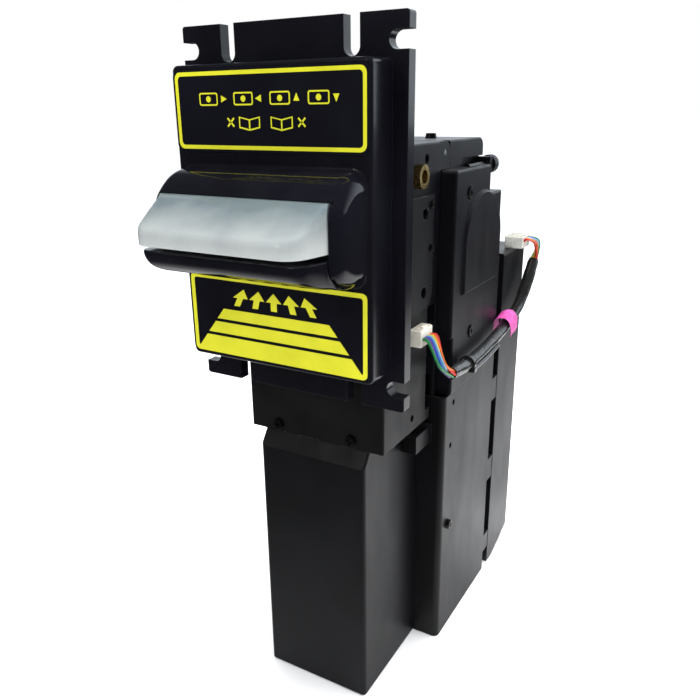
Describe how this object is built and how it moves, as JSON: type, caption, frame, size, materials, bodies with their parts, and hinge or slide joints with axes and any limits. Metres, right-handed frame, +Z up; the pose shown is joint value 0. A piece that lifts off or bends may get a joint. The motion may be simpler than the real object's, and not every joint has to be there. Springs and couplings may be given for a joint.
{
  "type": "bill validator",
  "caption": "Bill validator with a slotted mounting bezel, a lit mouth over the bill slot, a feed head with a hinged lid, and a down-stacker with a hinged rear door.",
  "frame": {"origin": "centre of the bezel flange's front face, the face clamped behind the machine door", "axes": "+X right when facing the mouth, +Y from the mouth back into the cabinet, +Z up"},
  "size_m": [0.1059, 0.2441, 0.3175],
  "materials": {
    "bezel_plastic": "gloss black moulding",
    "housing_plastic": "fine-grained black moulding",
    "stacker_plastic": "fine-grained black moulding",
    "lens_plastic": "milky translucent, smooth",
    "label_film": "black printed film with yellow marks",
    "circuit_board": "green solder mask",
    "black_steel": "black oxide",
    "painted_steel": "satin black powder coat",
    "bright_steel": "plain steel",
    "brass": "knurled, bright",
    "belt_rubber": "matt",
    "roller_rubber": "matt",
    "gear_plastic": "natural acetal",
    "connector_plastic": "cream nylon",
    "sleeve_plastic": "shiny black sleeve",
    "wire_plastic": "coloured PVC insulation",
    "tape": "pink cloth tape"
  },
  "bodies": {
    "frame": {"bezel": "bezel_plastic", "mouth_lens": "lens_plastic", "lower_jaw": "bezel_plastic", "upper_label": "label_film", "lower_label": "label_film", "led_board": "circuit_board", "bezel_screws": "black_steel", "upper_guide": "housing_plastic", "lid_hinge_pin": "bright_steel", "locating_bushes": "brass", "head_chassis": "housing_plastic", "side_plate_right": "painted_steel", "side_plate_left": "painted_steel", "side_plate_screws": "black_steel", "gear_cover": "housing_plastic", "left_cover": "housing_plastic", "side_cover_screws": "black_steel", "feed_belts": "belt_rubber", "feed_motor": "bright_steel", "upper_sensor_board": "circuit_board", "lower_sensor_board": "circuit_board", "magnetic_head": "bright_steel", "main_board": "circuit_board", "lower_bracket": "painted_steel", "bracket_screws": "black_steel", "stacker_front_box": "stacker_plastic", "stacker_body": "stacker_plastic", "stacker_screws": "black_steel", "door_hinge_pin": "bright_steel", "front_plug": "connector_plastic", "rear_plug": "connector_plastic", "harness_sleeve": "sleeve_plastic", "harness_wires": "wire_plastic", "cable_tie": "sleeve_plastic", "tape_flag": "tape", "pressure_springs": "bright_steel"},
    "lid": {"top_cover": "housing_plastic", "top_cover_screws": "black_steel"},
    "thumb_screw_right": {"thumb_screw_right": "black_steel"},
    "thumb_screw_left": {"thumb_screw_left": "black_steel"},
    "front_feed": {"front_shaft": "bright_steel", "front_pulleys": "gear_plastic"},
    "rear_feed": {"rear_shaft": "bright_steel", "rear_pulleys": "gear_plastic", "rear_shaft_gear": "gear_plastic"},
    "idler": {"idler_gear": "gear_plastic"},
    "motor_rotor": {"motor_pinion": "bright_steel", "encoder_disc": "gear_plastic"},
    "front_pinch": {"front_pinch_rollers": "roller_rubber", "front_pinch_axle": "bright_steel"},
    "rear_pinch": {"rear_pinch_rollers": "roller_rubber", "rear_pinch_axle": "bright_steel"},
    "pressure": {"pressure_plate": "stacker_plastic"},
    "door": {"rear_door": "stacker_plastic", "stacker_motor": "bright_steel"},
    "pusher": {"pusher_plate": "gear_plastic"},
    "pusher_drive": {"pusher_shaft": "bright_steel", "pusher_pinions": "gear_plastic", "pusher_gear": "gear_plastic"},
    "stacker_motor_rotor": {"stacker_motor_pinion": "bright_steel"}
  },
  "joints": [
    {"name": "lid_hinge", "type": "hinge", "parent": "frame", "child": "lid", "pos_m": [0, 0.073, 0.024], "axis": [1, 0, 0], "range_deg": [0, 70]},
    {"name": "thumb_screw_right_turn", "type": "hinge", "parent": "lid", "child": "thumb_screw_right", "pos_m": [0.0388, 0.124, 0.0152], "axis": [0, 1, 0], "continuous": true},
    {"name": "thumb_screw_left_turn", "type": "hinge", "parent": "lid", "child": "thumb_screw_left", "pos_m": [-0.0388, 0.124, 0.0152], "axis": [0, 1, 0], "continuous": true},
    {"name": "rear_feed_spin", "type": "hinge", "parent": "frame", "child": "rear_feed", "pos_m": [0, 0.092, -0.01498], "axis": [1, 0, 0], "continuous": true},
    {"name": "front_feed_spin", "type": "hinge", "parent": "frame", "child": "front_feed", "pos_m": [0, 0.024, -0.01498], "axis": [1, 0, 0], "continuous": true},
    {"name": "idler_spin", "type": "hinge", "parent": "frame", "child": "idler", "pos_m": [0, 0.10275, -0.04132], "axis": [1, 0, 0], "continuous": true},
    {"name": "motor_spin", "type": "hinge", "parent": "frame", "child": "motor_rotor", "pos_m": [0, 0.11199, -0.06396], "axis": [1, 0, 0], "continuous": true},
    {"name": "front_pinch_spin", "type": "hinge", "parent": "frame", "child": "front_pinch", "pos_m": [0, 0.024, -0.00195], "axis": [1, 0, 0], "continuous": true},
    {"name": "rear_pinch_spin", "type": "hinge", "parent": "lid", "child": "rear_pinch", "pos_m": [0, 0.092, -0.00195], "axis": [1, 0, 0], "continuous": true},
    {"name": "pressure_plate_slide", "type": "slide", "parent": "frame", "child": "pressure", "axis": [0, -1, 0], "range_m": [0, 0.058], "deforming": ["pressure_springs"]},
    {"name": "rear_door_hinge", "type": "hinge", "parent": "frame", "child": "door", "pos_m": [-0.0402, 0.1435, -0.138], "axis": [0, 0, 1], "range_deg": [0, 95]},
    {"name": "pusher_slide", "type": "slide", "parent": "door", "child": "pusher", "axis": [0, -1, 0], "range_m": [0, 0.014]},
    {"name": "pusher_shaft_turn", "type": "hinge", "parent": "door", "child": "pusher_drive", "pos_m": [0, 0.162, -0.143], "axis": [-1, 0, 0], "range_deg": [0, 134]},
    {"name": "stacker_motor_turn", "type": "hinge", "parent": "door", "child": "stacker_motor_rotor", "pos_m": [0, 0.16921, -0.12515], "axis": [-1, 0, 0], "range_deg": [-402, 0]}
  ],
  "couplings": [
    {"joint": "front_feed_spin", "follows": "rear_feed_spin", "ratio": 1},
    {"joint": "idler_spin", "follows": "rear_feed_spin", "ratio": -0.51064},
    {"joint": "motor_spin", "follows": "rear_feed_spin", "ratio": 1.7143},
    {"joint": "front_pinch_spin", "follows": "rear_feed_spin", "ratio": -1.576},
    {"joint": "rear_pinch_spin", "follows": "rear_feed_spin", "ratio": -1.576},
    {"joint": "pusher_shaft_turn", "follows": "pusher_slide", "rad_per_m": 166.67},
    {"joint": "stacker_motor_turn", "follows": "pusher_slide", "rad_per_m": -500}
  ]
}
